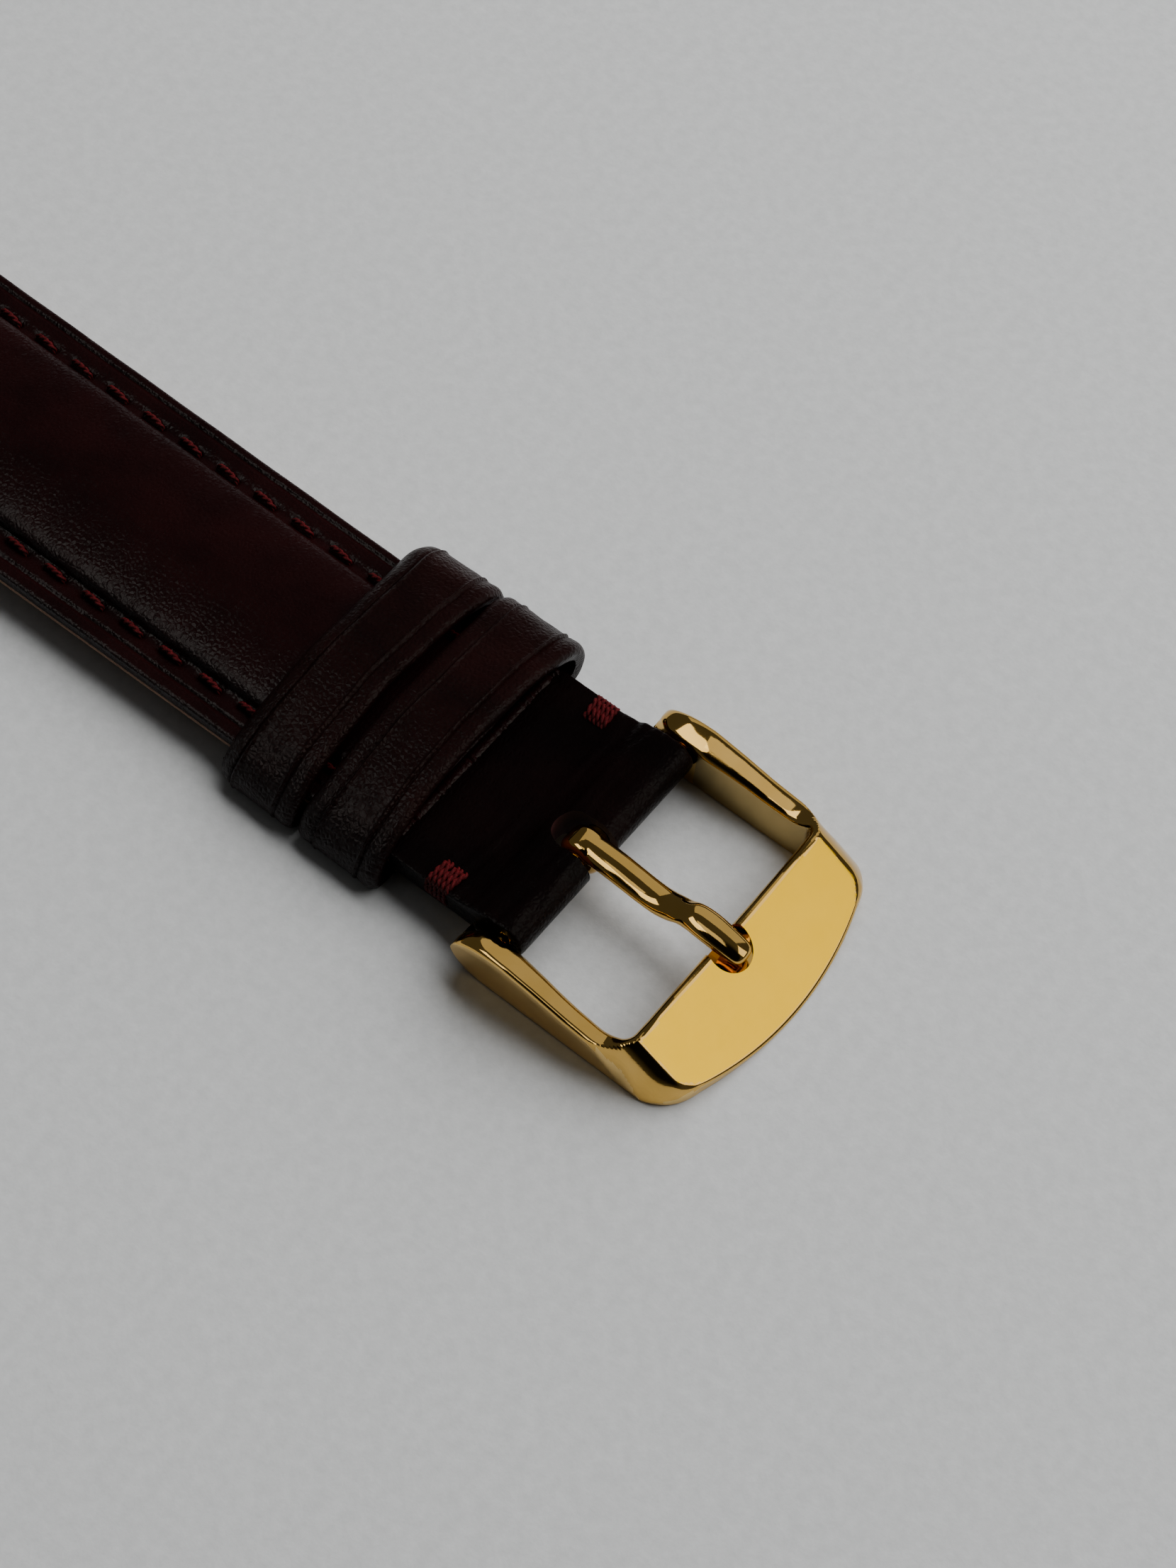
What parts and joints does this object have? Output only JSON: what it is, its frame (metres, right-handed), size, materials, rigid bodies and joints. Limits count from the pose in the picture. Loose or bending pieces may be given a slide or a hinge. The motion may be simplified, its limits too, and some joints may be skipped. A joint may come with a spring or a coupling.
{
  "type": "wristwatch",
  "caption": "Round gold-cased analogue wristwatch with a padded dark leather strap, sliding and fixed strap loops and a tongue buckle.",
  "frame": {"origin": "centre of the case back's lowest face, on the surface that the watch lies on", "axes": "+Z out through the dial, +Y towards 12 o'clock and the buckle piece of the strap, +X towards the crown at 3 o'clock"},
  "size_m": [0.039, 0.2498, 0.008],
  "materials": {
    "gold_case": "polished gold plate",
    "gold_buckle": "polished gold plate, satin front bar",
    "gold_hands": "diamond-cut gold",
    "steel": "fine brushed",
    "strap_leather": "smooth calf, dark burgundy, waxed",
    "lining_leather": "natural split leather",
    "thread": "waxed polyester thread",
    "padding": "pressed felt",
    "crystal": "clear mineral glass",
    "seal": "matte",
    "crystal_seal": "translucent nylon",
    "dial": "sunray champagne",
    "spacer": "moulded",
    "plate": "grained brass",
    "bridge": "nickel plated",
    "train": "cut brass",
    "cell": "nickel can",
    "board": "solder mask",
    "winding": "enamelled copper wire"
  },
  "bodies": {
    "head": {"case_middle": "gold_case", "bezel": "gold_case", "crystal": "crystal", "crystal_gasket": "crystal_seal", "case_back": "steel", "back_gasket": "seal", "crown_tube": "steel", "dial": "dial", "hour_markers": "gold_hands", "movement_ring": "spacer", "main_plate": "plate", "train_bridge": "bridge", "movement_screws": "steel", "battery": "cell", "battery_clamp": "steel", "circuit_board": "board", "coil": "winding", "stator": "steel", "lug_bar_12": "steel", "lug_bar_12_spring": "steel", "lug_bar_6": "steel", "lug_bar_6_spring": "steel"},
    "lug_bar_12_sprung_end": {"lug_bar_12_tip": "steel"},
    "lug_bar_6_sprung_end": {"lug_bar_6_tip": "steel"},
    "winding_pinion": {"sliding_pinion": "steel"},
    "crown_and_stem": {"crown": "gold_case", "stem": "steel"},
    "setting_lever": {"setting_lever": "steel"},
    "seconds": {"seconds_wheel": "train", "second_hand": "gold_hands"},
    "rotor": {"rotor": "steel"},
    "intermediate": {"intermediate_wheel": "train"},
    "third": {"third_wheel": "train"},
    "minutes": {"centre_wheel": "train", "minute_hand": "gold_hands"},
    "minute_wheel": {"minute_wheel": "train"},
    "hours": {"hour_wheel": "train", "hour_hand": "gold_hands"},
    "short_strap_1": {"short_upper_1": "strap_leather", "short_padding_1": "padding", "short_lining_1": "lining_leather", "short_stitching_1": "thread"},
    "short_strap_2": {"short_upper_2": "strap_leather", "short_padding_2": "padding", "short_lining_2": "lining_leather", "short_stitching_2": "thread", "fixed_loop": "strap_leather"},
    "free_loop": {"free_loop": "strap_leather"},
    "buckle": {"buckle_frame": "gold_buckle", "buckle_bar": "gold_buckle", "buckle_bar_spring": "steel"},
    "buckle_bar_sprung_end": {"buckle_bar_tip": "gold_buckle"},
    "tongue": {"buckle_tongue": "gold_buckle"},
    "long_strap_1": {"long_upper_1": "strap_leather", "long_padding_1": "padding", "long_lining_1": "lining_leather", "long_stitching_1": "thread"},
    "long_strap_2": {"long_upper_2": "strap_leather", "long_lining_2": "lining_leather", "long_stitching_2": "thread"}
  },
  "joints": [
    {"name": "seconds_turn", "type": "hinge", "parent": "head", "child": "seconds", "pos_m": [0, 0, 0.0033], "axis": [0, 0, 1], "continuous": true},
    {"name": "rotor_turn", "type": "hinge", "parent": "head", "child": "rotor", "pos_m": [0.00476, 0.00714, 0.0023], "axis": [0, 0, 1], "continuous": true},
    {"name": "intermediate_turn", "type": "hinge", "parent": "head", "child": "intermediate", "pos_m": [0.00368, 0.00309, 0.0023], "axis": [0, 0, 1], "continuous": true},
    {"name": "third_turn", "type": "hinge", "parent": "head", "child": "third", "pos_m": [-0.00469, 0.00083, 0.0023], "axis": [0, 0, 1], "continuous": true},
    {"name": "minutes_turn", "type": "hinge", "parent": "head", "child": "minutes", "pos_m": [0, 0, 0.0033], "axis": [0, 0, 1], "continuous": true},
    {"name": "minute_wheel_turn", "type": "hinge", "parent": "head", "child": "minute_wheel", "pos_m": [-0.00156, 0.0027, 0.0036], "axis": [0, 0, 1], "continuous": true},
    {"name": "hours_turn", "type": "hinge", "parent": "head", "child": "hours", "pos_m": [0, 0, 0.004], "axis": [0, 0, 1], "continuous": true},
    {"name": "crown_turn", "type": "hinge", "parent": "head", "child": "winding_pinion", "pos_m": [0.006, 0, 0.0033], "axis": [1, 0, 0], "continuous": true},
    {"name": "crown_pull", "type": "slide", "parent": "winding_pinion", "child": "crown_and_stem", "axis": [1, 0, 0], "range_m": [0, 0.0009]},
    {"name": "setting_lever_turn", "type": "hinge", "parent": "head", "child": "setting_lever", "pos_m": [0.0089, 0.0026, 0.0038], "axis": [0, 0, 1], "range_deg": [0, 25]},
    {"name": "lug_bar_12_press", "type": "slide", "parent": "head", "child": "lug_bar_12_sprung_end", "axis": [-1, 0, 0], "range_m": [0, 0.00115], "stiffness_N_per_m": 1500, "springref_m": -0.0006, "deforming": ["lug_bar_12_spring"]},
    {"name": "lug_bar_6_press", "type": "slide", "parent": "head", "child": "lug_bar_6_sprung_end", "axis": [-1, 0, 0], "range_m": [0, 0.00115], "stiffness_N_per_m": 1500, "springref_m": -0.0006, "deforming": ["lug_bar_6_spring"]},
    {"name": "short_strap_lug", "type": "hinge", "parent": "head", "child": "short_strap_1", "pos_m": [0, 0.0206, 0.0029], "axis": [1, 0, 0], "range_deg": [-85, 50]},
    {"name": "short_strap_bend", "type": "hinge", "parent": "short_strap_1", "child": "short_strap_2", "pos_m": [0, 0.05058, 0.00106], "axis": [1, 0, 0], "range_deg": [-70, 0]},
    {"name": "free_loop_slide", "type": "slide", "parent": "short_strap_2", "child": "free_loop", "axis": [0, -1, 0], "range_m": [0, 0.014]},
    {"name": "buckle_turn", "type": "hinge", "parent": "short_strap_2", "child": "buckle", "pos_m": [0, 0.0986, 0.0025], "axis": [1, 0, 0], "range_deg": [-60, 40]},
    {"name": "buckle_bar_press", "type": "slide", "parent": "buckle", "child": "buckle_bar_sprung_end", "axis": [-1, 0, 0], "range_m": [0, 0.00105], "stiffness_N_per_m": 1500, "springref_m": -0.0006, "deforming": ["buckle_bar_spring"]},
    {"name": "tongue_lift", "type": "hinge", "parent": "buckle", "child": "tongue", "pos_m": [0, 0.0986, 0.0025], "axis": [1, 0, 0], "range_deg": [0, 75]},
    {"name": "long_strap_lug", "type": "hinge", "parent": "head", "child": "long_strap_1", "pos_m": [0, -0.0206, 0.0029], "axis": [1, 0, 0], "range_deg": [-50, 85]},
    {"name": "long_strap_bend", "type": "hinge", "parent": "long_strap_1", "child": "long_strap_2", "pos_m": [0, -0.06856, 0.00062], "axis": [1, 0, 0], "range_deg": [0, 80]}
  ],
  "couplings": [
    {"joint": "intermediate_turn", "follows": "seconds_turn", "ratio": -5},
    {"joint": "rotor_turn", "follows": "seconds_turn", "ratio": 30},
    {"joint": "third_turn", "follows": "seconds_turn", "ratio": -0.13333},
    {"joint": "minutes_turn", "follows": "seconds_turn", "ratio": 0.016667},
    {"joint": "minute_wheel_turn", "follows": "seconds_turn", "ratio": -0.0055556},
    {"joint": "hours_turn", "follows": "seconds_turn", "ratio": 0.0013889},
    {"joint": "setting_lever_turn", "follows": "crown_pull", "rad_per_m": 484.71}
  ]
}
